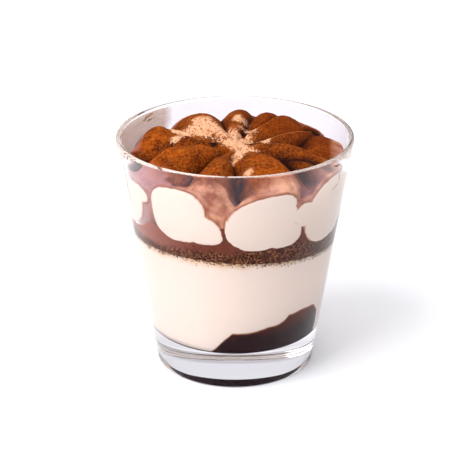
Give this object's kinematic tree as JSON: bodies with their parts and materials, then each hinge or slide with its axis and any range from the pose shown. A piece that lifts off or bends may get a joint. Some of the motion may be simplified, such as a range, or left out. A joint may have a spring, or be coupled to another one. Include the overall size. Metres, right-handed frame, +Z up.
{
  "type": "tiramisu in a glass",
  "caption": "Tapered glass tumbler layered with mascarpone cream over a coffee-soaked sponge, a cocoa layer and a piped cream rosette dusted with cocoa.",
  "frame": {"origin": "middle of the foot's underside, on the surface the glass stands on", "axes": "+Z up along the glass's axis; -Y is the front, where the sponge finger shows to the right; +X to the right"},
  "size_m": [0.0774, 0.0774, 0.08],
  "materials": {
    "glass": "clear pressed glass, polished",
    "coffee_sponge": "sponge finger soaked dark with coffee, wet",
    "mascarpone": "smooth mascarpone cream, ivory white",
    "soaked_cocoa": "moist cocoa crumbs, dark brown",
    "dusted_cream": "piped cream under a dusting of cocoa powder"
  },
  "bodies": {
    "root": {"glass_tumbler": "glass", "coffee_sponge": "coffee_sponge", "mascarpone_layer": "mascarpone", "cocoa_layer": "soaked_cocoa", "cream_rosette": "dusted_cream"}
  },
  "joints": []
}
